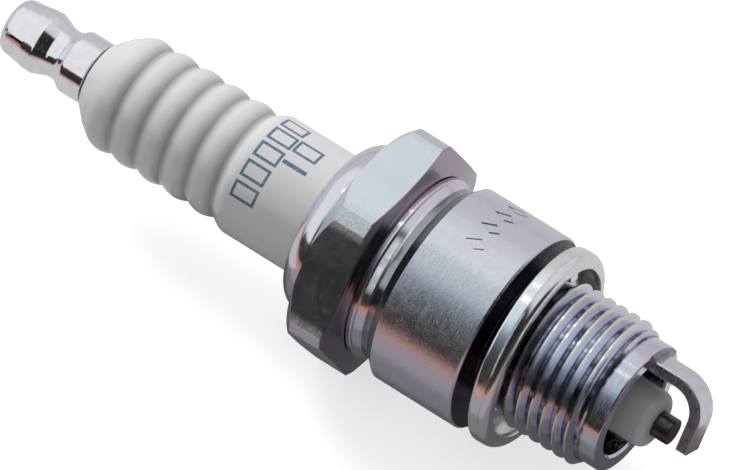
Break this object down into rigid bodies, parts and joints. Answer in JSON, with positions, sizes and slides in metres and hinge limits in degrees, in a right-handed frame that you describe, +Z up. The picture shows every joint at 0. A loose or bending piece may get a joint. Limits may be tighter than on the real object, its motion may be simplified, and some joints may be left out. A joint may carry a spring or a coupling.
{
  "type": "spark plug",
  "caption": "Threaded spark plug with a hexagonal steel shell, ribbed glazed ceramic insulator, screw-on terminal nut, loose folded gasket and a bent earth strap over the centre electrode.",
  "frame": {"origin": "on the plug's axis, in the plane of the shell's gasket seat", "axes": "+X along the axis towards the firing end, +Z up and square to one flat of the hexagon, +Y completes the right-handed frame"},
  "size_m": [0.0718, 0.023, 0.0206],
  "materials": {
    "shell_steel": "satin nickel plating",
    "insulator_ceramic": "glossy white glaze",
    "electrode_nickel": "dark nickel alloy",
    "core_copper": "copper",
    "seal_glass": "opaque conductive glass",
    "resistor_carbon": "matt carbon and glass",
    "stud_steel": "plain steel",
    "nut_plated": "bright nickel plating",
    "ring_steel": "plain steel",
    "talc": "packed powder",
    "gasket_steel": "satin plated sheet",
    "strap_nickel": "satin nickel alloy",
    "weld_metal": "oxidised weld flash"
  },
  "bodies": {
    "plug": {"metal_shell": "shell_steel", "insulator": "insulator_ceramic", "centre_electrode": "electrode_nickel", "copper_core": "core_copper", "lower_glass_seal": "seal_glass", "resistor": "resistor_carbon", "upper_glass_seal": "seal_glass", "terminal_stud": "stud_steel", "packing_washer": "ring_steel", "lower_wire_ring": "ring_steel", "upper_wire_ring": "ring_steel", "talc_filler": "talc", "ground_electrode": "strap_nickel", "weld_flash": "weld_metal"},
    "terminal_nut": {"terminal_nut": "nut_plated"},
    "gasket": {"gasket": "gasket_steel"}
  },
  "joints": [
    {"name": "terminal_nut_slide", "type": "slide", "parent": "plug", "child": "terminal_nut", "axis": [-1, 0, 0], "range_m": [0, 0.0095]},
    {"name": "gasket_slide", "type": "slide", "parent": "plug", "child": "gasket", "axis": [1, 0, 0], "range_m": [-0.0009, 0.0001]}
  ]
}
